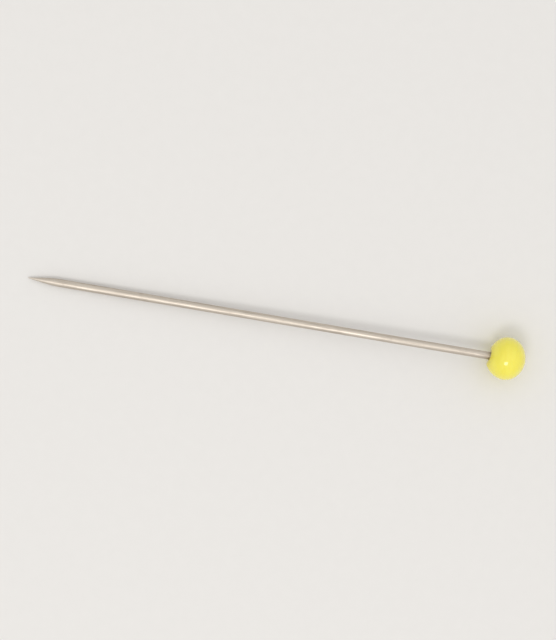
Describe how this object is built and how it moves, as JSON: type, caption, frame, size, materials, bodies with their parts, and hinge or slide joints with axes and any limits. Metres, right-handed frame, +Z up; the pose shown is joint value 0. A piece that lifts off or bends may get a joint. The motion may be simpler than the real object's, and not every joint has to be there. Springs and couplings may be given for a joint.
{
  "type": "straight pin",
  "caption": "Straight sewing pin with a long ground point and a round glass head melted onto the blunt end of its wire.",
  "frame": {"origin": "on the surface that the pin lies on, under the middle of its box", "axes": "+X along the pin from its point to its head, +Z up from the surface that it lies on, XZ the plane of the wire's axis"},
  "size_m": [0.0458, 0.004, 0.004],
  "materials": {
    "nickel_wire": "drawn steel wire with bright nickel plating, ground at the point",
    "yellow_glass": "opaque yellow glass, fire polished"
  },
  "bodies": {
    "root": {"steel_shaft": "nickel_wire", "glass_head": "yellow_glass"}
  },
  "joints": []
}
